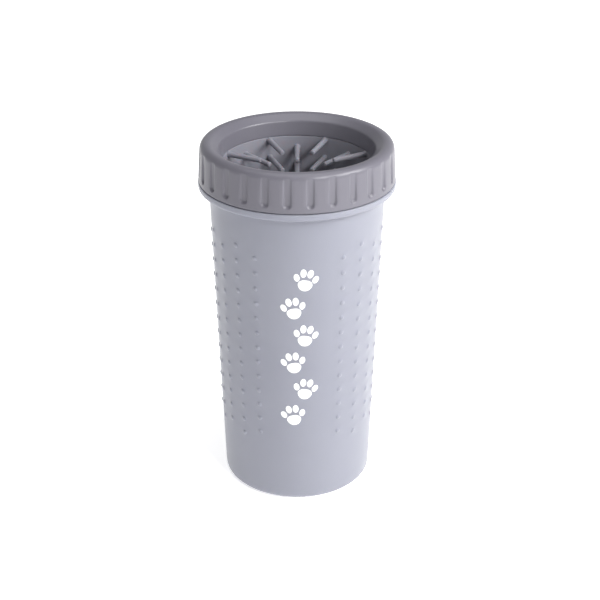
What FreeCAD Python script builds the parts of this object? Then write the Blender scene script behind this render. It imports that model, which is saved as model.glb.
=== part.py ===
import FreeCAD, Part
import math
import os
import Sketcher

# Paw washer cup: a tapered beaker, a screw collar with an open throat, and a soft sleeve
# with rows of bristles that hangs in the beaker. Millimetres, +Z up, and the origin at the
# middle of the foot. The paw goes in from above.

SHEET_NAME = "dims"
OUTPUT_FOLDER = "parts"

# Driving dimensions: alias, value. Radii and heights are measured from the origin.
DIMENSIONS = [
    # Beaker
    ("foot_inner_radius", 37.0),
    ("foot_recess", 1.4),
    ("floor_top", 4.0),
    ("floor_radius", 43.9),
    ("floor_corner", 3.0),
    ("base_radius", 46.1),
    ("base_corner", 4.4),
    ("body_top_radius", 52.65),
    ("flange_bottom", 194.4),
    ("flange_top", 198.5),
    ("flange_radius", 59.1),
    ("flange_edge", 1.2),
    ("flange_root", 3.0),
    ("neck_radius", 51.7),
    ("neck_top", 207.2),
    ("neck_bore", 50.0),
    # Four-start thread that the collar turns on
    ("thread_starts", 4),
    ("thread_lead", 24.0),
    ("thread_arc", 79.0),
    ("thread_bottom", 200.5),
    ("thread_crest", 53.2),
    ("thread_root_half", 1.3),
    ("thread_crest_half", 0.6),
    ("thread_bury", 0.3),
    ("lug_from", 24.0),
    ("lug_arc", 55.0),
    ("lug_crest", 52.2),
    ("lug_drop", 1.9),
    ("lug_root_half", 1.2),
    # Screw collar
    ("lid_radius", 58.9),
    ("lid_top_radius", 57.45),
    ("lid_bottom", 198.8),
    ("lid_top", 222.0),
    ("lid_shoulder", 4.2),
    ("lid_edge", 0.8),
    ("lid_bore", 54.0),
    ("lid_groove_top", 214.0),
    ("rim_inner_radius", 51.6),
    ("rim_round", 5.0),
    ("throat_top_radius", 46.5),
    ("throat_top", 218.3),
    ("throat_bottom_radius", 44.8),
    ("throat_bottom", 209.3),
    ("throat_wall", 2.0),
    ("core_top", 217.0),
    ("core_outer_radius", 49.9),
    ("core_inner_radius", 48.2),
    ("press_rib_radius", 52.0),
    # Grip flutes round the collar
    ("flute_count", 28),
    ("flute_width", 4.2),
    ("flute_bottom", 202.3),
    ("flute_top", 220.5),
    ("flute_depth", 1.6),
    ("flute_phase", -5.3),
    # Soft sleeve and its flange
    ("seal_gap", 0.1),
    ("seal_top", 209.2),
    ("seal_radius", 51.6),
    ("lip_bottom", 203.8),
    ("lip_outer_radius", 49.5),
    ("lip_wall", 1.6),
    ("sleeve_top_radius", 45.0),
    ("sleeve_bottom_radius", 40.5),
    ("sleeve_bottom", 112.0),
    ("sleeve_wall", 1.5),
    # Bristles
    ("row_count", 16),
    ("bending_rows", 4),
    ("bristles_in_row", 8),
    ("first_row", 207.2),
    ("row_pitch", 5.5),
    ("bristle_reach", 21.5),
    ("bristle_root_radius", 1.65),
    ("bristle_tip_radius", 1.35),
    ("bristle_droop", 3.0),
    ("hinge_gap", 0.3),
    ("root_gap", 0.45),
]

doc = FreeCAD.newDocument("PawWasherCup")
sheet = doc.addObject("Spreadsheet::Sheet", SHEET_NAME)
for number, (alias, size) in enumerate(DIMENSIONS, start=1):
    sheet.set("A" + str(number), alias)
    sheet.set("B" + str(number), str(size))
    sheet.setAlias("B" + str(number), alias)
doc.recompute()


def cell(alias):
    """Expression that reads one cell of the sheet."""
    return SHEET_NAME + "." + alias


def value(expression):
    """Number that an expression of the sheet's aliases gives now."""
    return float(sheet.evalExpression(expression))


def size(alias):
    return value(cell(alias))


def expand(text):
    """Turn a short formula such as 'lid_radius - 2' into one that names the sheet."""
    words = [cell(word) if word in ALIASES else word for word in text.split(" ")]
    return " ".join(words)


ALIASES = {alias for alias, _ in DIMENSIONS}


def new_body(label):
    body = doc.addObject("PartDesign::Body", "Body_" + label)
    body.Label = label
    return body


def origin_item(body, role):
    """One of the body's own planes or axes, such as XZ_Plane or Z_Axis."""
    return [item for item in body.Origin.OriginFeatures if item.Role == role][0]


def outline(body, name, corners):
    """Closed outline on the body's XZ plane. Each corner is a pair of formulas: radius, height."""
    sketch = body.newObject("Sketcher::SketchObject", name)
    sketch.AttachmentSupport = [(origin_item(body, "XZ_Plane"), "")]
    sketch.MapMode = "FlatFace"
    formulas = [(expand(across), expand(up)) for across, up in corners]
    places = [FreeCAD.Vector(value(across), value(up), 0) for across, up in formulas]
    for index, place in enumerate(places):
        sketch.addGeometry(Part.LineSegment(place, places[(index + 1) % len(places)]), False)
    for index in range(len(places)):
        following = (index + 1) % len(places)
        sketch.addConstraint(Sketcher.Constraint("Coincident", index, 2, following, 1))
    for index, (across, up) in enumerate(formulas):
        bind_corner(sketch, index, "DistanceX", across, places[index].x)
        bind_corner(sketch, index, "DistanceY", up, places[index].y)
    return sketch


def bind_corner(sketch, index, kind, formula, distance):
    """Hold one corner of an outline at its formula, or on the axis where that is 0."""
    if formula == "0":
        axis = -2 if kind == "DistanceX" else -1
        sketch.addConstraint(Sketcher.Constraint("PointOnObject", index, 1, axis))
        return
    constraint = sketch.addConstraint(Sketcher.Constraint(kind, -1, 1, index, 1, distance))
    name = ("across_" if kind == "DistanceX" else "up_") + str(index)
    sketch.renameConstraint(constraint, name)
    sketch.setExpression("Constraints." + name, formula)


def revolve(body, name, corners):
    """Turn an outline a full turn about the body's Z axis."""
    sketch = outline(body, name + "_outline", corners)
    feature = body.newObject("PartDesign::Revolution", name)
    feature.Profile = sketch
    feature.ReferenceAxis = (sketch, ["V_Axis"])
    feature.Angle = 360
    doc.recompute()
    return feature


def round_rings(body, name, base, rings, radius_alias):
    """Round the circular edges at the given (radius, height) formulas."""
    places = [(value(expand(across)), value(expand(up))) for across, up in rings]
    edges = []
    for index, edge in enumerate(base.Shape.Edges, start=1):
        if not isinstance(edge.Curve, Part.Circle):
            continue
        ring = (edge.Curve.Radius, edge.Curve.Center.z)
        if any(math.dist(ring, place) < 0.01 for place in places):
            edges.append("Edge" + str(index))
    feature = body.newObject("PartDesign::Fillet", name)
    feature.Base = (base, edges)
    feature.setExpression("Radius", cell(radius_alias))
    doc.recompute()
    return feature


def turn_plane(sketch, angle_formula):
    """Turn a sketch's plane about the Z axis, so that its outline starts at that angle."""
    sketch.AttachmentOffset = FreeCAD.Placement(
        FreeCAD.Vector(), FreeCAD.Rotation(FreeCAD.Vector(0, 1, 0), value(expand(angle_formula))))
    sketch.setExpression("AttachmentOffset.Rotation.Angle", expand(angle_formula))


def thread_ribs(body, name, corners, from_angle, arc):
    """Equal ribs that climb the thread's helix, one for each start."""
    before = body.Shape.Volume
    sketch = outline(body, name + "_outline", corners)
    turn_plane(sketch, from_angle)
    doc.recompute()
    rib = body.newObject("PartDesign::AdditiveHelix", name)
    rib.Profile = sketch
    rib.ReferenceAxis = (sketch, ["V_Axis"])
    rib.Mode = "pitch-height-angle"
    rib.setExpression("Pitch", cell("thread_lead"))
    rib.setExpression("Height", expand("thread_lead * " + arc + " / 360"))
    rib.HasBeenEdited = True
    doc.recompute()
    pattern = polar(body, name + "_starts", rib, "thread_starts")
    if body.Shape.Volume <= before:
        raise RuntimeError(name + " added nothing")
    return pattern


def polar(body, name, feature, count_alias):
    """Repeat a feature evenly round the Z axis."""
    pattern = body.newObject("PartDesign::PolarPattern", name)
    pattern.Originals = [feature]
    pattern.Axis = (origin_item(body, "Z_Axis"), [""])
    pattern.Angle = 360
    pattern.setExpression("Occurrences", cell(count_alias))
    body.Tip = pattern
    doc.recompute()
    return pattern


# --- Beaker ------------------------------------------------------------------------------

def make_cup():
    body = new_body("cup")
    shell = revolve(body, "shell", [
        ("0", "foot_recess"),
        ("foot_inner_radius", "foot_recess"),
        ("foot_inner_radius", "0"),
        ("base_radius", "0"),
        ("body_top_radius", "flange_bottom"),
        ("flange_radius", "flange_bottom"),
        ("flange_radius", "flange_top"),
        ("neck_radius", "flange_top"),
        ("neck_radius", "neck_top"),
        ("neck_bore", "neck_top"),
        ("floor_radius", "floor_top"),
        ("0", "floor_top"),
    ])
    foot = round_rings(body, "foot_round", shell, [("base_radius", "0")], "base_corner")
    floor = round_rings(body, "floor_round", foot, [("floor_radius", "floor_top")], "floor_corner")
    edge = round_rings(body, "flange_round", floor, [("flange_radius", "flange_bottom")], "flange_edge")
    round_rings(body, "flange_root_round", edge, [("body_top_radius", "flange_bottom")], "flange_root")
    thread_ribs(body, "thread", [
        ("neck_radius - thread_bury", "thread_bottom - thread_root_half"),
        ("thread_crest", "thread_bottom - thread_crest_half"),
        ("thread_crest", "thread_bottom + thread_crest_half"),
        ("neck_radius - thread_bury", "thread_bottom + thread_root_half"),
    ], "0", "thread_arc")
    return body


# --- Screw collar ------------------------------------------------------------------------

def make_lid_ring():
    body = new_body("lid_ring")
    shell = revolve(body, "collar", [
        ("throat_bottom_radius", "throat_bottom"),
        ("throat_top_radius", "throat_top"),
        ("rim_inner_radius", "lid_top"),
        ("lid_top_radius", "lid_top"),
        ("lid_radius", "lid_bottom"),
        ("lid_bore", "lid_bottom"),
        ("lid_bore", "lid_groove_top"),
        ("press_rib_radius", "lid_groove_top"),
        ("press_rib_radius", "throat_bottom"),
        ("core_outer_radius", "throat_bottom"),
        ("core_outer_radius", "core_top"),
        ("core_inner_radius", "core_top"),
        ("throat_bottom_radius + throat_wall", "throat_bottom"),
    ])
    shoulder = round_rings(body, "shoulder", shell, [("lid_top_radius", "lid_top")], "lid_shoulder")
    rim = round_rings(body, "rim_round", shoulder, [("rim_inner_radius", "lid_top")], "rim_round")
    round_rings(body, "skirt_edge", rim, [("lid_radius", "lid_bottom")], "lid_edge")
    lug_height = "thread_bottom + thread_lead * lug_from / 360 - lug_drop"
    thread_ribs(body, "lugs", [
        ("lid_bore + thread_bury", lug_height + " - lug_root_half"),
        ("lid_bore + thread_bury", lug_height + " + lug_root_half"),
        ("lug_crest", lug_height + " + thread_crest_half"),
        ("lug_crest", lug_height + " - thread_crest_half"),
    ], "lug_from", "lug_arc")
    cut_flutes(body)
    return body


def cut_flutes(body):
    """Flutes down the collar's skirt. The skirt flares, so they fade out where it is narrowest."""
    sketch = body.newObject("Sketcher::SketchObject", "flute_outline")
    sketch.AttachmentSupport = [(origin_item(body, "XZ_Plane"), "")]
    sketch.MapMode = "FlatFace"
    half = size("flute_width") / 2
    low = size("flute_bottom") + half
    high = size("flute_top") - half
    left = FreeCAD.Vector(-half, low, 0)
    right = FreeCAD.Vector(half, low, 0)
    rise = FreeCAD.Vector(0, high - low, 0)
    below = FreeCAD.Vector(0, low - half, 0)
    above = FreeCAD.Vector(0, high + half, 0)
    sketch.addGeometry(Part.LineSegment(right, right + rise), False)
    sketch.addGeometry(Part.Arc(right + rise, above, left + rise), False)
    sketch.addGeometry(Part.LineSegment(left + rise, left), False)
    sketch.addGeometry(Part.Arc(left, below, right), False)
    # Each end arc runs the same way round as the outline, so it joins at its own two ends.
    joins = [(0, 2, 1, 1), (1, 2, 2, 1), (2, 2, 3, 1), (3, 2, 0, 1)]
    for first, first_end, second, second_end in joins:
        sketch.addConstraint(Sketcher.Constraint("Tangent", first, first_end, second, second_end))
    bound = [
        ("width", Sketcher.Constraint("Radius", 1, half), "flute_width / 2"),
        ("low", Sketcher.Constraint("DistanceY", -1, 1, 3, 3, low), "flute_bottom + flute_width / 2"),
        ("high", Sketcher.Constraint("DistanceY", -1, 1, 1, 3, high), "flute_top - flute_width / 2"),
    ]
    for name, constraint, formula in bound:
        sketch.renameConstraint(sketch.addConstraint(constraint), name)
        sketch.setExpression("Constraints." + name, expand(formula))
    sketch.addConstraint(Sketcher.Constraint("PointOnObject", 1, 3, -2))
    floor_radius = "( lid_radius - flute_depth )"
    angle = math.radians(size("flute_phase"))
    distance = value(expand(floor_radius))
    sketch.AttachmentOffset = FreeCAD.Placement(
        FreeCAD.Vector(distance * math.sin(angle), 0, distance * math.cos(angle)),
        FreeCAD.Rotation(FreeCAD.Vector(0, 1, 0), size("flute_phase")))
    degrees = cell("flute_phase") + " * 1 deg"
    sketch.setExpression("AttachmentOffset.Base.x", expand(floor_radius) + " * sin(" + degrees + ")")
    sketch.setExpression("AttachmentOffset.Base.z", expand(floor_radius) + " * cos(" + degrees + ")")
    sketch.setExpression("AttachmentOffset.Rotation.Angle", cell("flute_phase"))
    before = body.Shape.Volume
    flute = body.newObject("PartDesign::Pocket", "flute")
    flute.Profile = sketch
    flute.Type = "ThroughAll"
    flute.Reversed = True
    doc.recompute()
    polar(body, "flutes", flute, "flute_count")
    if body.Shape.Volume >= before:
        raise RuntimeError("the flutes cut nothing")


# --- Soft insert -------------------------------------------------------------------------

def make_insert_sleeve():
    body = new_body("insert_sleeve")
    flange_under = "neck_top + seal_gap"
    revolve(body, "sleeve", [
        ("sleeve_top_radius", "seal_top"),
        ("seal_radius", "seal_top"),
        ("seal_radius", flange_under),
        ("lip_outer_radius", flange_under),
        ("lip_outer_radius", "lip_bottom"),
        ("lip_outer_radius - lip_wall", "lip_bottom"),
        ("lip_outer_radius - lip_wall", flange_under),
        ("sleeve_top_radius + sleeve_wall", flange_under),
        ("sleeve_bottom_radius + sleeve_wall", "sleeve_bottom"),
        ("sleeve_bottom_radius", "sleeve_bottom"),
    ])
    return body


def wall_radius(height):
    """Radius of the sleeve's inner wall at a height."""
    share = (height - size("sleeve_bottom")) / (size("seal_top") - size("sleeve_bottom"))
    return size("sleeve_bottom_radius") + share * (size("sleeve_top_radius") - size("sleeve_bottom_radius"))


def bristle_angle(row, place):
    """Degrees round from +X. The first row straddles +Y, and each row is half a step on."""
    step = 360 / size("bristles_in_row")
    return 90 + step * (place + 0.5 * ((row + 1) % 2))


def bristle_placement(row, place, gap):
    """Root of a bristle: its own +Z points inwards and droops a little."""
    height = size("first_row") - row * size("row_pitch")
    radius = wall_radius(height) - gap
    turn = FreeCAD.Rotation(FreeCAD.Vector(0, 0, 1), bristle_angle(row, place))
    lean = FreeCAD.Rotation(FreeCAD.Vector(0, 1, 0), -90 - size("bristle_droop"))
    return FreeCAD.Placement(turn.multVec(FreeCAD.Vector(radius, 0, height)), turn.multiply(lean))


def bristle_cone(name, row, place, gap_formula):
    """Tapered finger that starts a gap in from the wall. Its tip is bristle_reach from the wall."""
    cone = doc.addObject("Part::Cone", name)
    cone.setExpression("Radius1", cell("bristle_root_radius"))
    cone.setExpression("Radius2", cell("bristle_tip_radius"))
    cone.setExpression("Height", expand("bristle_reach - " + gap_formula))
    cone.Placement = bristle_placement(row, place, value(expand(gap_formula)))
    return cone


def make_bending_bristle(row, place):
    """One bristle with a round root, which can swing up and down without touching the wall."""
    label = "bristle_{}_{}".format(row + 1, place + 1)
    cone = bristle_cone(label + "_shaft", row, place, "( bristle_root_radius + hinge_gap )")
    root = doc.addObject("Part::Sphere", label + "_root")
    root.setExpression("Radius", cell("bristle_root_radius"))
    root.Placement = cone.Placement
    bristle = doc.addObject("Part::Fuse", label)
    bristle.Base = cone
    bristle.Tool = root
    bristle.Label = label
    return bristle


def make_fixed_row(row):
    """A row of bristles too deep for a paw to bend far, as separate solids in one node."""
    label = "bristle_row_{:02d}".format(row + 1)
    names = [label + "_" + str(place + 1) for place in range(int(size("bristles_in_row")))]
    cones = [bristle_cone(name, row, place, "root_gap") for place, name in enumerate(names)]
    group = doc.addObject("Part::Compound", label)
    group.Links = cones
    group.Label = label
    return group


def make_all():
    parts = [make_cup(), make_lid_ring(), make_insert_sleeve()]
    for row in range(int(size("row_count"))):
        if row >= size("bending_rows"):
            parts.append(make_fixed_row(row))
            continue
        for place in range(int(size("bristles_in_row"))):
            parts.append(make_bending_bristle(row, place))
    return parts


def check_document(parts):
    for item in doc.Objects:
        if "Invalid" in item.State or "Error" in item.State:
            raise RuntimeError(item.Name + " failed: " + str(item.State))
    for item in parts:
        if item.Shape.isNull() or not item.Shape.isValid() or not item.Shape.Solids:
            raise RuntimeError(item.Label + " has no valid shape")


sub_parts = make_all()
doc.recompute()
check_document(sub_parts)
os.makedirs(OUTPUT_FOLDER, exist_ok=True)
for sub_part in sub_parts:
    sub_part.Shape.exportStep(os.path.join(OUTPUT_FOLDER, sub_part.Label + ".step"))
    box = sub_part.Shape.BoundBox
    print("{:16s} {:3d} solids, volume {:9.1f}, z {:.1f} to {:.1f}".format(
        sub_part.Label, len(sub_part.Shape.Solids), sub_part.Shape.Volume, box.ZMin, box.ZMax))
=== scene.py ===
import math

import bpy
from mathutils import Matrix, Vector


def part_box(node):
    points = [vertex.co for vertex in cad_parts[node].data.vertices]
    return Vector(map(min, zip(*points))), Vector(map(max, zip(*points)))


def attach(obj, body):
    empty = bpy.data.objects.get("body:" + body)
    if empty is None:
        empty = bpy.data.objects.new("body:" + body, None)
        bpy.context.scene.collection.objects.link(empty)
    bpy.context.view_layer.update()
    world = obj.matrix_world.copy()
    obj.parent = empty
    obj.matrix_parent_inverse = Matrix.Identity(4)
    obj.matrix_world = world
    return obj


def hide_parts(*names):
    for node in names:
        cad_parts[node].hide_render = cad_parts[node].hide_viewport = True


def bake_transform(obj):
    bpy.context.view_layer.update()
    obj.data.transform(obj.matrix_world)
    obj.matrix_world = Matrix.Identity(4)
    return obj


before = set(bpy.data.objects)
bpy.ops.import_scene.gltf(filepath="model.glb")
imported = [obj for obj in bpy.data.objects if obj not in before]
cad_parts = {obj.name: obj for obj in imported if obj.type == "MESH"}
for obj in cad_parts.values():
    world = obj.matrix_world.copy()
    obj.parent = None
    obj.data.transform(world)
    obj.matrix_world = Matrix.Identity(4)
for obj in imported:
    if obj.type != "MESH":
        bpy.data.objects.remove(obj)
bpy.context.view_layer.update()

MM = 0.001
FULL_TURN = 2 * math.pi

# Heights and radii, in millimetres, read from the frame where it holds them.
CUP_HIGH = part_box("cup")[1]
LID_LOW, LID_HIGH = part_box("lid_ring")
SLEEVE_LOW, SLEEVE_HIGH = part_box("insert_sleeve")
NECK_TOP = CUP_HIGH.z / MM
FLANGE_RADIUS = CUP_HIGH.x / MM
LID_RADIUS = LID_HIGH.x / MM
LID_TOP = LID_HIGH.z / MM
LID_BOTTOM = LID_LOW.z / MM
SEAL_TOP = SLEEVE_HIGH.z / MM
SEAL_RADIUS = SLEEVE_HIGH.x / MM
SLEEVE_BOTTOM = SLEEVE_LOW.z / MM

# Beaker
FLOOR_TOP = 4.0
FLOOR_RADIUS = 43.9
FOOT_RECESS = 1.4
FOOT_INNER_RADIUS = 37.0
BASE_RADIUS = 46.1
BODY_TOP_RADIUS = 52.65
FLANGE_BOTTOM = 194.4
FLANGE_TOP = 198.5
NECK_RADIUS = 51.7
NECK_BORE = 50.0

# Grip dots on the beaker: columns that alternate by half a step, with a plain panel in front and behind
DOT_COLUMNS = 24
CELL_STEPS = 4
DOT_STEP = 9.89
DOT_FIELD_BOTTOM = 37.5
DOT_FIELD_ROWS = 14
FIRST_DOT_COLUMN = 2
LAST_DOT_COLUMN = 10
DOT_TURN = math.radians(1.7)
# Radius from the dot's middle and height there, from its foot inwards
DOT_PROFILE = [(1.8, 0.0), (1.6, 0.05), (1.42, 0.2), (1.2, 0.38), (0.85, 0.52), (0.45, 0.59)]
DOT_HEIGHT = 0.61

# Thread: four ribs that climb 24 mm a turn, and the lugs that run under them
THREAD_STARTS = 4
THREAD_LEAD = 24.0
THREAD_ARC = math.radians(79)
THREAD_BOTTOM = 200.5
THREAD_CREST = 53.2
THREAD_ROOT_HALF = 1.3
RIB_CREST_HALF = 0.6
RIB_BURY = 0.25
RIB_RUN_OUT = 0.12
LUG_FROM = math.radians(24)
LUG_ARC = math.radians(55)
LUG_DROP = 1.9
LUG_CREST = 52.2
LUG_ROOT_HALF = 1.2

# Screw collar
LID_BORE = 54.0
THROAT_TOP = 218.3
THROAT_TOP_RADIUS = 46.5
THROAT_BOTTOM = 209.3
THROAT_BOTTOM_RADIUS = 44.8
THROAT_WALL = 2.0
GROOVE_TOP = 214.0
PRESS_RIB_RADIUS = 52.0
CORE_TOP = 217.0
CORE_OUTER_RADIUS = 49.9
CORE_INNER_RADIUS = 48.2
RIM_INNER_RADIUS = 51.6
LID_TOP_RADIUS = 57.45
FLUTES = 28
FLUTE_TURN = math.radians(-5.3)
FLUTE_HALF_WIDTH = 2.1
FLUTE_BOTTOM = 202.3
FLUTE_TOP = 220.5
FLUTE_FLOOR_RADIUS = 57.3
FLUTE_SOFTNESS = 0.6
# Places across a flute and the land after it, from the flute's middle: closer at the flute's edges
FLUTE_PLACES = [-2.9, -2.45, -2.1, -1.75, -1.3, -0.5, 0.5, 1.3, 1.75, 2.1, 2.45, 2.9, 4.6, 6.4, 8.2]

# Soft sleeve and bristles
SLEEVE_TOP_RADIUS = 45.0
SLEEVE_BOTTOM_RADIUS = 40.5
SLEEVE_WALL = 1.5
SEAL_GAP = 0.1
LIP_RADIUS = 49.5
LIP_WALL = 1.6
LIP_BOTTOM = 203.8
BRISTLE_ROWS = 16
BENDING_ROWS = 4
BRISTLES_IN_ROW = 8
FIRST_ROW = 207.2
ROW_STEP = 5.5
BRISTLE_REACH = 21.5
BRISTLE_DROOP = math.radians(3)
BRISTLE_ROOT_RADIUS = 1.72
BRISTLE_TIP_RADIUS = 1.5

FRONT = -math.pi / 2


# --- Mesh building ---------------------------------------------------------------------------


class Shape:
    """Vertices, in millimetres, and faces of one mesh."""

    def __init__(self):
        self.points = []
        self.faces = []

    def point(self, x, y, z):
        self.points.append((x * MM, y * MM, z * MM))
        return len(self.points) - 1

    def polar(self, radius, angle, height):
        return self.point(radius * math.cos(angle), radius * math.sin(angle), height)

    def strip(self, first, second):
        """Quads between two closed rings of the same length."""
        for index in range(len(first)):
            after = (index + 1) % len(first)
            self.faces.append((first[index], first[after], second[after], second[index]))

    def fan(self, ring, middle):
        for index in range(len(ring)):
            self.faces.append((ring[index], ring[(index + 1) % len(ring)], middle))

    def make(self, name, material, body):
        mesh = bpy.data.meshes.new(name)
        mesh.from_pydata(self.points, [], self.faces)
        mesh.validate()
        mesh.materials.append(material)
        piece = bpy.data.objects.new(name, mesh)
        bpy.context.scene.collection.objects.link(piece)
        bpy.context.view_layer.objects.active = piece
        piece.select_set(True)
        bpy.ops.object.mode_set(mode="EDIT")
        bpy.ops.mesh.select_all(action="SELECT")
        bpy.ops.mesh.normals_make_consistent(inside=False)
        bpy.ops.object.mode_set(mode="OBJECT")
        bpy.ops.object.shade_smooth_by_angle(angle=math.radians(50))
        piece.select_set(False)
        if body:
            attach(piece, body)
        return piece


def rounded(corners, steps=5):
    """Outline through (radius, height, rounding) corners, with an arc where there is rounding."""
    points = []
    for index, (across, up, rounding) in enumerate(corners):
        here = Vector((across, up))
        if rounding == 0:
            points.append(here)
            continue
        back = (Vector(corners[index - 1][:2]) - here).normalized()
        ahead = (Vector(corners[(index + 1) % len(corners)][:2]) - here).normalized()
        half = back.angle(ahead) / 2
        middle = here + (back + ahead).normalized() * rounding / math.sin(half)
        first = here + back * rounding / math.tan(half) - middle
        last = here + ahead * rounding / math.tan(half) - middle
        sweep = math.atan2(first.x * last.y - first.y * last.x, first.dot(last))
        for step in range(steps + 1):
            turn = sweep * step / steps
            points.append(middle + Vector((first.x * math.cos(turn) - first.y * math.sin(turn),
                                           first.x * math.sin(turn) + first.y * math.cos(turn))))
    return points


def divided(points, longest, closed=True):
    """The same outline with no stretch longer than a limit."""
    result = []
    count = len(points)
    for index, here in enumerate(points):
        result.append(here)
        if index == count - 1 and not closed:
            break
        ahead = points[(index + 1) % count]
        pieces = max(1, math.ceil((ahead - here).length / longest))
        result += [here.lerp(ahead, step / pieces) for step in range(1, pieces)]
    return result


def even_angles(count, start=0.0):
    return [start + FULL_TURN * index / count for index in range(count)]


def lathe(shape, outline, angles, dent=None):
    """Rings of a closed outline turned about Z. dent(angle, radius, height) pulls points inwards."""
    rings = []
    for across, up in outline:
        rings.append([shape.polar(across - (dent(angle, across, up) if dent else 0), angle, up)
                      for angle in angles])
    for index, ring in enumerate(rings):
        shape.strip(ring, rings[(index + 1) % len(rings)])


def smooth_step(value):
    value = min(1.0, max(0.0, value))
    return value * value * (3 - 2 * value)


def helix_rib(shape, start_angle, arc, bottom, wall, crest, root_half):
    """A rib that climbs the thread's helix on a wall, and runs out gently at both ends."""
    stations = 28
    bury = RIB_BURY if crest > wall else -RIB_BURY
    foot = wall - bury
    broad = RIB_CREST_HALF * 1.25
    narrow = RIB_CREST_HALF * 0.75
    rings = []
    for station in range(stations + 1):
        share = station / stations
        angle = start_angle + arc * share
        middle = bottom + THREAD_LEAD * arc * share / FULL_TURN
        grown = smooth_step(min(share, 1 - share) / RIB_RUN_OUT)
        top = wall + (crest - wall) * (0.08 + 0.92 * grown)
        soft = wall + (top - wall) * 0.82
        section = [(foot, -root_half), (soft, -broad), (top, -narrow),
                   (top, narrow), (soft, broad), (foot, root_half)]
        rings.append([shape.polar(radius, angle, middle + up) for radius, up in section])
    for first, second in zip(rings, rings[1:]):
        shape.strip(first, second)
    shape.faces.append(tuple(rings[0]))
    shape.faces.append(tuple(rings[-1]))


# --- Materials -------------------------------------------------------------------------------


def new_material(name, color, roughness, **sockets):
    """A principled material, its node tree and its shader node."""
    material = bpy.data.materials.new(name)
    material.use_nodes = True
    tree = material.node_tree
    shader = tree.nodes["Principled BSDF"]
    shader.inputs["Base Color"].default_value = (*color, 1)
    shader.inputs["Roughness"].default_value = roughness
    for socket, value in sockets.items():
        shader.inputs[socket.replace("_", " ")].default_value = value
    return material, tree, shader


def place_noise(tree, scale, detail=3.0):
    """Noise that is fixed to the object's own coordinates."""
    place = tree.nodes.new("ShaderNodeTexCoord")
    noise = tree.nodes.new("ShaderNodeTexNoise")
    noise.inputs["Scale"].default_value = scale
    noise.inputs["Detail"].default_value = detail
    tree.links.new(place.outputs["Object"], noise.inputs["Vector"])
    return noise


def vary_color(tree, shader, noise, dark, light):
    """Slow drift between two close colours."""
    ramp = tree.nodes.new("ShaderNodeValToRGB")
    ramp.color_ramp.elements[0].position = 0.3
    ramp.color_ramp.elements[0].color = (*dark, 1)
    ramp.color_ramp.elements[1].position = 0.7
    ramp.color_ramp.elements[1].color = (*light, 1)
    tree.links.new(noise.outputs["Fac"], ramp.inputs["Fac"])
    tree.links.new(ramp.outputs["Color"], shader.inputs["Base Color"])


def vary_roughness(tree, shader, noise, low, high):
    span = tree.nodes.new("ShaderNodeMapRange")
    span.inputs["To Min"].default_value = low
    span.inputs["To Max"].default_value = high
    tree.links.new(noise.outputs["Fac"], span.inputs["Value"])
    tree.links.new(span.outputs["Result"], shader.inputs["Roughness"])


def add_bump(tree, shader, noise, strength, depth):
    bump = tree.nodes.new("ShaderNodeBump")
    bump.inputs["Strength"].default_value = strength
    bump.inputs["Distance"].default_value = depth
    tree.links.new(noise.outputs["Fac"], bump.inputs["Height"])
    tree.links.new(bump.outputs["Normal"], shader.inputs["Normal"])


def frosted_plastic():
    """Milky, slightly blue-grey polypropylene that lets some light through."""
    color = (0.266, 0.272, 0.319)
    material, tree, shader = new_material(
        "frosted_cup", color, 0.42, Subsurface_Weight=0.35, Subsurface_Scale=0.004,
        Subsurface_Radius=(1.0, 1.0, 1.15), Specular_IOR_Level=0.4)
    vary_color(tree, shader, place_noise(tree, 14), (0.258, 0.264, 0.312), (0.274, 0.28, 0.326))
    grain = place_noise(tree, 1400, 2)
    vary_roughness(tree, shader, grain, 0.29, 0.39)
    add_bump(tree, shader, grain, 0.25, 0.00008)
    return material


def satin_plastic():
    """Purple-grey moulded plastic with a fine spark-eroded texture."""
    material, tree, shader = new_material("satin_collar", (0.15, 0.145, 0.172), 0.4,
                                          Specular_IOR_Level=0.45)
    vary_color(tree, shader, place_noise(tree, 22), (0.145, 0.14, 0.167), (0.156, 0.151, 0.178))
    grain = place_noise(tree, 1800, 2)
    vary_roughness(tree, shader, grain, 0.27, 0.37)
    add_bump(tree, shader, grain, 0.3, 0.00006)
    return material


def silicone():
    """Soft blue-grey rubber, nearly matt."""
    material, tree, shader = new_material(
        "silicone_insert", (0.225, 0.222, 0.258), 0.5, Subsurface_Weight=0.12, Subsurface_Scale=0.002,
        Sheen_Weight=0.08, Sheen_Roughness=0.5, Specular_IOR_Level=0.35)
    vary_color(tree, shader, place_noise(tree, 40), (0.217, 0.214, 0.25), (0.233, 0.23, 0.266))
    grain = place_noise(tree, 1100, 3)
    vary_roughness(tree, shader, grain, 0.48, 0.62)
    add_bump(tree, shader, grain, 0.2, 0.0001)
    return material


def white_ink():
    material, tree, shader = new_material("white_ink", (0.9, 0.9, 0.9), 0.4)
    grain = place_noise(tree, 2200, 2)
    vary_roughness(tree, shader, grain, 0.34, 0.48)
    add_bump(tree, shader, grain, 0.15, 0.00003)
    return material


# --- Beaker ----------------------------------------------------------------------------------


def wall_radius(height):
    """Outside radius of the beaker's wall."""
    return BASE_RADIUS + (BODY_TOP_RADIUS - BASE_RADIUS) * height / FLANGE_BOTTOM


def dotted(column):
    return FIRST_DOT_COLUMN <= min(column, DOT_COLUMNS - column) <= LAST_DOT_COLUMN


def half_step_down(column):
    """Every second column, counted from the middle of the front, starts half a step lower."""
    return min(column, DOT_COLUMNS - column) % 2 == 1


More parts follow.
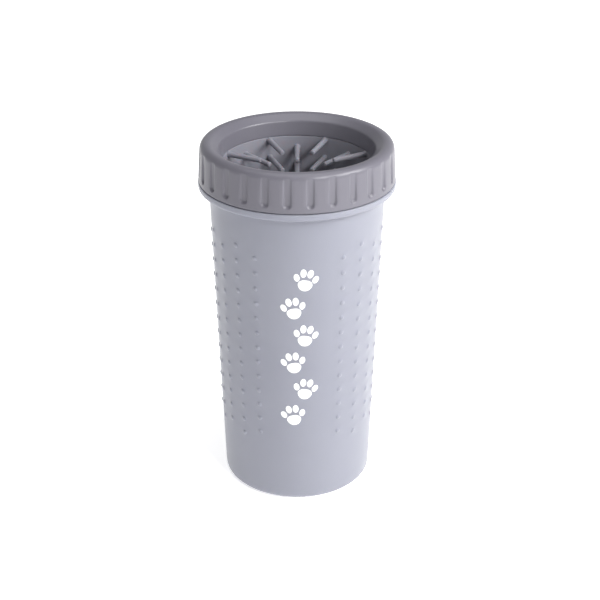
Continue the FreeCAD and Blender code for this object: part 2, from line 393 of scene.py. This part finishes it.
def add_dot(shape, angle, height, border):
    """A low dome in one cell of the wall, whose border vertices are given in order round it."""
    radius = wall_radius(height)
    around = []
    for index in border:
        x, y, z = (value / MM for value in shape.points[index])
        turn = (math.atan2(y, x) - angle + math.pi) % FULL_TURN - math.pi
        around.append(math.atan2(z - height, turn * radius))
    rings = [border]
    for size, rise in DOT_PROFILE:
        ring = []
        for direction in around:
            up = height + size * math.sin(direction)
            turned = angle + size * math.cos(direction) / radius
            ring.append(shape.polar(wall_radius(up) + rise, turned, up))
        rings.append(ring)
    for first, second in zip(rings, rings[1:]):
        shape.strip(first, second)
    shape.fan(rings[-1], shape.polar(radius + DOT_HEIGHT, angle, height))


def dotted_wall(shape, segments):
    """The wall where the dots are, as a grid of cells. Returns its lowest and highest ring."""
    rows = DOT_FIELD_ROWS * CELL_STEPS
    grid = {}

    def vertex(side, level):
        side %= segments
        if (side, level) not in grid:
            height = DOT_FIELD_BOTTOM + level * DOT_STEP / CELL_STEPS
            angle = FRONT + DOT_TURN + FULL_TURN * side / segments
            grid[side, level] = shape.polar(wall_radius(height), angle, height)
        return grid[side, level]

    def plain(left, low, right, high):
        for side in range(left, right):
            for level in range(low, high):
                shape.faces.append((vertex(side, level), vertex(side + 1, level),
                                    vertex(side + 1, level + 1), vertex(side, level + 1)))

    for column in range(DOT_COLUMNS):
        middle = column * CELL_STEPS
        left = middle - CELL_STEPS // 2
        right = left + CELL_STEPS
        if not dotted(column):
            plain(left, 0, right, rows)
            continue
        inset = 0 if half_step_down(column) else CELL_STEPS // 2
        plain(left, 0, right, inset)
        plain(left, rows - inset, right, rows)
        angle = FRONT + DOT_TURN + FULL_TURN * middle / segments
        for low in range(inset, rows - inset, CELL_STEPS):
            high = low + CELL_STEPS
            border = [vertex(side, low) for side in range(left, right)]
            border += [vertex(right, level) for level in range(low, high)]
            border += [vertex(side, high) for side in range(right, left, -1)]
            border += [vertex(left, level) for level in range(high, low, -1)]
            middle_height = DOT_FIELD_BOTTOM + (low + CELL_STEPS / 2) * DOT_STEP / CELL_STEPS
            add_dot(shape, angle, middle_height, border)
    return ([vertex(side, 0) for side in range(segments)],
            [vertex(side, rows) for side in range(segments)])


def make_cup(material):
    shape = Shape()
    segments = DOT_COLUMNS * CELL_STEPS
    angles = even_angles(segments, FRONT + DOT_TURN)
    low_ring, high_ring = dotted_wall(shape, segments)
    field_top = DOT_FIELD_BOTTOM + DOT_FIELD_ROWS * DOT_STEP
    above = rounded([
        (0, FLOOR_TOP, 0),
        (FLOOR_RADIUS, FLOOR_TOP, 3.0),
        (NECK_BORE, NECK_TOP, 0.5),
        (NECK_RADIUS, NECK_TOP, 0.5),
        (NECK_RADIUS, FLANGE_TOP, 0.4),
        (FLANGE_RADIUS, FLANGE_TOP, 0.6),
        (FLANGE_RADIUS, FLANGE_BOTTOM, 1.4),
        (BODY_TOP_RADIUS, FLANGE_BOTTOM, 3.0),
        (wall_radius(field_top), field_top, 0),
    ])
    below = rounded([
        (wall_radius(DOT_FIELD_BOTTOM), DOT_FIELD_BOTTOM, 0),
        (BASE_RADIUS, 0, 4.4),
        (FOOT_INNER_RADIUS, 0, 0.5),
        (FOOT_INNER_RADIUS, FOOT_RECESS, 0.5),
        (0, FOOT_RECESS, 0),
    ])
    add_side(shape, divided(above, 8, closed=False), angles, high_ring, from_axis=True)
    add_side(shape, divided(below, 8, closed=False), angles, low_ring, from_axis=False)
    for start in range(THREAD_STARTS):
        helix_rib(shape, FULL_TURN * start / THREAD_STARTS, THREAD_ARC, THREAD_BOTTOM,
                  NECK_RADIUS, THREAD_CREST, THREAD_ROOT_HALF)
    cup = shape.make("cup_shell", material, "cup")
    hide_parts("cup")
    return cup


def add_side(shape, outline, angles, shared_ring, from_axis):
    """Rings from the axis to the dotted wall, or from it to the axis, which share the wall's own ring."""
    inner = outline[1:-1]
    rings = [[shape.polar(across, angle, up) for angle in angles] for across, up in inner]
    rings = rings + [shared_ring] if from_axis else [shared_ring] + rings
    for first, second in zip(rings, rings[1:]):
        shape.strip(first, second)
    pole = outline[0] if from_axis else outline[-1]
    shape.fan(rings[0] if from_axis else rings[-1], shape.point(0, 0, pole.y))


# --- Printed paw marks up the front ----------------------------------------------------------

PRINT_COUNT = 6
PRINT_BOTTOM = 62.0
PRINT_STEP = 18.4
PRINT_SWAY = 3.6
PRINT_TILT = math.radians(9)
PRINT_THICKNESS = 0.06
HEEL_MIDDLE = (0, -2.6)
HEEL_HALF_WIDTH = 4.3
HEEL_HALF_HEIGHT = 3.5
# Toes on the right: across, up, half width, half height, lean in degrees, from the middle of the paw
RIGHT_TOES = [(2.1, 4.9, 1.8, 2.7, -7), (5.6, 1.6, 1.7, 2.5, -22)]
LEFT_TOES = [(-across, up, half_width, half_height, -lean)
             for across, up, half_width, half_height, lean in reversed(RIGHT_TOES)]
TOES = LEFT_TOES + RIGHT_TOES


def heel(direction):
    """Outline of the large pad: broad and three-lobed below, narrow above."""
    swell = 1 + 0.09 * math.cos(3 * (direction + math.pi / 2))
    narrow = 1 - 0.16 * math.sin(direction)
    across, up = HEEL_MIDDLE
    return (across + HEEL_HALF_WIDTH * swell * narrow * math.cos(direction),
            up + HEEL_HALF_HEIGHT * swell * math.sin(direction))


def add_pad(shape, outline, middle, tilt, centre, height):
    """One inked pad: a thin closed shell on the beaker's wall."""
    steps = 36
    layers = [(1.0, -0.1), (1.0, PRINT_THICKNESS * 0.5), (0.97, PRINT_THICKNESS), (0.6, PRINT_THICKNESS)]

    def place(across, up, rise):
        turned_across = across * math.cos(tilt) - up * math.sin(tilt)
        turned_up = across * math.sin(tilt) + up * math.cos(tilt)
        level = height + turned_up
        angle = FRONT + DOT_TURN + (centre + turned_across) / wall_radius(level)
        return shape.polar(wall_radius(level) + rise, angle, level)

    rings = []
    for share, rise in layers:
        ring = []
        for step in range(steps):
            across, up = outline(FULL_TURN * step / steps)
            ring.append(place(middle[0] + (across - middle[0]) * share,
                              middle[1] + (up - middle[1]) * share, rise))
        rings.append(ring)
    for first, second in zip(rings, rings[1:]):
        shape.strip(first, second)
    shape.fan(rings[-1], place(middle[0], middle[1], PRINT_THICKNESS))
    shape.fan(rings[0], place(middle[0], middle[1], layers[0][1]))


def make_paw_marks(material):
    shape = Shape()
    for number in range(PRINT_COUNT):
        side = 1 if number % 2 else -1
        height = PRINT_BOTTOM + number * PRINT_STEP
        tilt = -side * PRINT_TILT
        add_pad(shape, heel, HEEL_MIDDLE, tilt, side * PRINT_SWAY, height)
        for across, up, half_width, half_height, lean in TOES:
            turn = math.radians(lean)

            def toe(direction):
                x = half_width * math.cos(direction)
                y = half_height * math.sin(direction)
                return (across + x * math.cos(turn) - y * math.sin(turn),
                        up + x * math.sin(turn) + y * math.cos(turn))

            add_pad(shape, toe, (across, up), tilt, side * PRINT_SWAY, height)
    return shape.make("paw_marks", material, "cup")


# --- Screw collar ----------------------------------------------------------------------------


def flute_dent(angle, radius, height):
    """How far a point of the flared skirt is pulled in by the nearest flute, whose floor is upright."""
    if radius < FLUTE_FLOOR_RADIUS or height < FLUTE_BOTTOM - 2:
        return 0.0
    step = FULL_TURN / FLUTES
    turn = (angle - FRONT - FLUTE_TURN + step / 2) % step - step / 2
    low = FLUTE_BOTTOM + FLUTE_HALF_WIDTH
    high = FLUTE_TOP - FLUTE_HALF_WIDTH
    beyond = max(low - height, 0, height - high)
    distance = math.hypot(turn * radius, beyond)
    edge = (distance - FLUTE_HALF_WIDTH) / (2 * FLUTE_SOFTNESS)
    return (radius - FLUTE_FLOOR_RADIUS) * (1 - smooth_step(edge + 0.5))


def flute_angles():
    """Angles round the collar, closer together at the edges of the flutes."""
    step = FULL_TURN / FLUTES
    return [FRONT + FLUTE_TURN + step * flute + place / LID_RADIUS
            for flute in range(FLUTES) for place in FLUTE_PLACES]


def make_lid_ring(material):
    shape = Shape()
    outline = rounded([
        (THROAT_BOTTOM_RADIUS, THROAT_BOTTOM, 0.4),
        (THROAT_TOP_RADIUS, THROAT_TOP, 2.2),
        (RIM_INNER_RADIUS, LID_TOP, 5.0),
        (LID_TOP_RADIUS, LID_TOP, 4.2),
        (LID_RADIUS, LID_BOTTOM, 0.8),
        (LID_BORE, LID_BOTTOM, 0.5),
        (LID_BORE, GROOVE_TOP, 0.8),
        (PRESS_RIB_RADIUS, GROOVE_TOP, 0.5),
        (PRESS_RIB_RADIUS, THROAT_BOTTOM, 0.3),
        (CORE_OUTER_RADIUS, THROAT_BOTTOM, 0.3),
        (CORE_OUTER_RADIUS, CORE_TOP, 0.5),
        (CORE_INNER_RADIUS, CORE_TOP, 0.5),
        (THROAT_BOTTOM_RADIUS + THROAT_WALL, THROAT_BOTTOM, 0.4),
    ], steps=8)
    lathe(shape, skirt_rows(outline), flute_angles(), flute_dent)
    for start in range(THREAD_STARTS):
        begin = LUG_FROM + FULL_TURN * start / THREAD_STARTS
        bottom = THREAD_BOTTOM + THREAD_LEAD * LUG_FROM / FULL_TURN - LUG_DROP
        helix_rib(shape, begin, LUG_ARC, bottom, LID_BORE, LUG_CREST, LUG_ROOT_HALF)
    lid = shape.make("collar_shell", material, "lid")
    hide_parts("lid_ring")
    return lid


def skirt_rows(outline):
    """The collar's outline with close rows down the skirt, where the flutes end."""
    result = []
    for index, here in enumerate(outline):
        ahead = outline[(index + 1) % len(outline)]
        result.append(here)
        skirt = min(here.x, ahead.x) > FLUTE_FLOOR_RADIUS - 0.3
        pieces = math.ceil((ahead - here).length / (0.5 if skirt else 3.0))
        result += [here.lerp(ahead, step / pieces) for step in range(1, pieces)]
    return result


# --- Soft insert -----------------------------------------------------------------------------


def sleeve_radius(height):
    share = (height - SLEEVE_BOTTOM) / (SEAL_TOP - SLEEVE_BOTTOM)
    return SLEEVE_BOTTOM_RADIUS + share * (SLEEVE_TOP_RADIUS - SLEEVE_BOTTOM_RADIUS)


def make_sleeve(material):
    shape = Shape()
    seal_bottom = NECK_TOP + SEAL_GAP
    outline = rounded([
        (SLEEVE_TOP_RADIUS, SEAL_TOP, 0.7),
        (SEAL_RADIUS, SEAL_TOP, 0.5),
        (SEAL_RADIUS, seal_bottom, 0.4),
        (LIP_RADIUS, seal_bottom, 0.3),
        (LIP_RADIUS, LIP_BOTTOM, 0.5),
        (LIP_RADIUS - LIP_WALL, LIP_BOTTOM, 0.5),
        (LIP_RADIUS - LIP_WALL, seal_bottom, 0.6),
        (SLEEVE_TOP_RADIUS + SLEEVE_WALL, seal_bottom, 1.0),
        (SLEEVE_BOTTOM_RADIUS + SLEEVE_WALL, SLEEVE_BOTTOM, 0.7),
        (SLEEVE_BOTTOM_RADIUS, SLEEVE_BOTTOM, 0.7),
    ])
    lathe(shape, divided(outline, 4.0), even_angles(144))
    sleeve = shape.make("sleeve_shell", material, "insert")
    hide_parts("insert_sleeve")
    return sleeve


# Distance in from the wall and radius there, along a bristle: a flared root, then a slow taper
ROOT_FLARE = [(-0.7, 2.15), (0.05, 2.1), (0.35, 1.95), (0.8, 1.82), (1.5, 1.75)]
TIP_ROUND = [(0.35, 1.0), (0.12, 0.86), (0.0, 0.6)]


def add_bristle(shape, root, inwards, across):
    """A tapered finger from the wall, with a rounded flat tip. across is level and square to it."""
    sides = 20
    upwards = across.cross(inwards)
    stations = list(ROOT_FLARE)
    shaft_start = ROOT_FLARE[-1][0]
    shaft_end = BRISTLE_REACH - TIP_ROUND[0][0]
    shaft_steps = 22
    for step in range(1, shaft_steps + 1):
        share = step / shaft_steps
        radius = BRISTLE_ROOT_RADIUS + share * (BRISTLE_TIP_RADIUS - BRISTLE_ROOT_RADIUS)
        stations.append((shaft_start + share * (shaft_end - shaft_start), radius))
    for back, share in TIP_ROUND[1:]:
        stations.append((BRISTLE_REACH - back, BRISTLE_TIP_RADIUS * share))
    rings = []
    for along, radius in stations:
        middle = root + inwards * along
        ring = []
        for side in range(sides):
            turn = FULL_TURN * side / sides
            place = middle + (across * math.cos(turn) + upwards * math.sin(turn)) * radius
            ring.append(shape.point(*place))
        rings.append(ring)
    for first, second in zip(rings, rings[1:]):
        shape.strip(first, second)
    for ring, along in ((rings[0], stations[0][0]), (rings[-1], BRISTLE_REACH)):
        shape.fan(ring, shape.point(*(root + inwards * along)))


def bristle_frame(row, place):
    """Root on the sleeve's wall, direction inwards and the level direction across a bristle."""
    step = FULL_TURN / BRISTLES_IN_ROW
    angle = math.pi / 2 + step * (place + 0.5 * ((row + 1) % 2))
    height = FIRST_ROW - row * ROW_STEP
    radius = sleeve_radius(height)
    root = Vector((radius * math.cos(angle), radius * math.sin(angle), height))
    level = -math.cos(BRISTLE_DROOP)
    inwards = Vector((level * math.cos(angle), level * math.sin(angle), -math.sin(BRISTLE_DROOP)))
    across = Vector((-math.sin(angle), math.cos(angle), 0))
    return root, inwards, across


def make_bending_bristle(row, place, material):
    """A bristle of the upper rows, rooted in the sleeve, built as a piece of its own."""
    name = "bristle_{}_{}".format(row + 1, place + 1)
    root, inwards, across = bristle_frame(row, place)
    shape = Shape()
    add_bristle(shape, root, inwards, across)
    piece = shape.make("finger_{}_{}".format(row + 1, place + 1), material, None)
    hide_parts(name)
    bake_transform(piece)


def make_fixed_bristles(material):
    shape = Shape()
    for row in range(BENDING_ROWS, BRISTLE_ROWS):
        for place in range(BRISTLES_IN_ROW):
            add_bristle(shape, *bristle_frame(row, place))
    piece = shape.make("lower_fingers", material, "insert")
    rows = ["bristle_row_{:02d}".format(row + 1) for row in range(BENDING_ROWS, BRISTLE_ROWS)]
    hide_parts(*rows)


# --- Studio ----------------------------------------------------------------------------------

FLOOR_HALF_SIZE = 6.0
FLOOR_DROP = 0.0003
FLOOR_GLOW = 0.6
# Strength of the light from all round, up to the first height of its direction, and from the second on
WALL_LIGHT = 0.6
WALL_TOP = 0.1
CEILING_LIGHT = 0.2
CEILING_START = 0.6
LIGHTS_AIM_HEIGHT = 0.12
CAMERA_LENS = 85
CAMERA_TILT = math.radians(25.98)
CAMERA_DISTANCE = 0.8819
CAMERA_ACROSS = 0.0018
CAMERA_AIM_HEIGHT = 0.1172


def make_floor():
    half = FLOOR_HALF_SIZE
    corners = [(-half, -half, 0), (half, -half, 0), (half, half, 0), (-half, half, 0)]
    mesh = bpy.data.meshes.new("floor")
    mesh.from_pydata(corners, [], [(0, 1, 2, 3)])
    floor = bpy.data.objects.new("floor", mesh)
    bpy.context.scene.collection.objects.link(floor)
    floor.location.z = -FLOOR_DROP
    material = new_material("pale_floor", (0.92, 0.92, 0.92), 0.9,
                            Emission_Color=(1, 1, 1, 1), Emission_Strength=FLOOR_GLOW)[0]
    mesh.materials.append(material)


def add_light(name, azimuth, elevation, distance, size, power):
    """Soft square light that faces the middle of the object. Azimuth 0 is in front, + to the right."""
    middle = Vector((0, 0, LIGHTS_AIM_HEIGHT))
    turn, rise = math.radians(azimuth), math.radians(elevation)
    out = Vector((math.sin(turn) * math.cos(rise), -math.cos(turn) * math.cos(rise), math.sin(rise)))
    data = bpy.data.lights.new(name, "AREA")
    data.size = size
    data.energy = power
    light = bpy.data.objects.new(name, data)
    light.location = middle + out * distance
    light.rotation_euler = (-out).to_track_quat("-Z", "Y").to_euler()
    bpy.context.scene.collection.objects.link(light)


def make_walls():
    """Pale light from all round the object, dimmer from overhead."""
    world = bpy.data.worlds.new("studio")
    world.use_nodes = True
    tree = world.node_tree
    background = tree.nodes["Background"]
    background.inputs["Color"].default_value = (0.98, 0.985, 1.0, 1)
    place = tree.nodes.new("ShaderNodeTexCoord")
    split = tree.nodes.new("ShaderNodeSeparateXYZ")
    dim = tree.nodes.new("ShaderNodeMapRange")
    dim.inputs["From Min"].default_value = WALL_TOP
    dim.inputs["From Max"].default_value = CEILING_START
    dim.inputs["To Min"].default_value = WALL_LIGHT
    dim.inputs["To Max"].default_value = CEILING_LIGHT
    tree.links.new(place.outputs["Generated"], split.inputs["Vector"])
    tree.links.new(split.outputs["Z"], dim.inputs["Value"])
    tree.links.new(dim.outputs["Result"], background.inputs["Strength"])
    bpy.context.scene.world = world


def make_studio():
    make_floor()
    make_walls()
    add_light("key", azimuth=68, elevation=34, distance=1.6, size=0.8, power=24)
    add_light("front", azimuth=30, elevation=36, distance=1.5, size=0.2, power=7)
    add_light("top", azimuth=0, elevation=88, distance=1.8, size=1.6, power=13)
    bpy.context.scene.view_settings.view_transform = "Standard"


def make_camera():
    """A long lens in front of the object, looking down at the mouth."""
    data = bpy.data.cameras.new("camera")
    data.sensor_width = 36
    data.lens = CAMERA_LENS
    camera = bpy.data.objects.new("camera", data)
    camera.location = (CAMERA_ACROSS, -CAMERA_DISTANCE * math.cos(CAMERA_TILT),
                       CAMERA_AIM_HEIGHT + CAMERA_DISTANCE * math.sin(CAMERA_TILT))
    camera.rotation_euler = (math.pi / 2 - CAMERA_TILT, 0, 0)
    bpy.context.scene.collection.objects.link(camera)
    bpy.context.scene.camera = camera


def make_object():
    cup_material = frosted_plastic()
    lid_material = satin_plastic()
    insert_material = silicone()
    make_cup(cup_material)
    make_paw_marks(white_ink())
    make_lid_ring(lid_material)
    make_sleeve(insert_material)
    for row in range(BENDING_ROWS):
        for place in range(BRISTLES_IN_ROW):
            make_bending_bristle(row, place, insert_material)
    make_fixed_bristles(insert_material)


make_object()
make_studio()
make_camera()
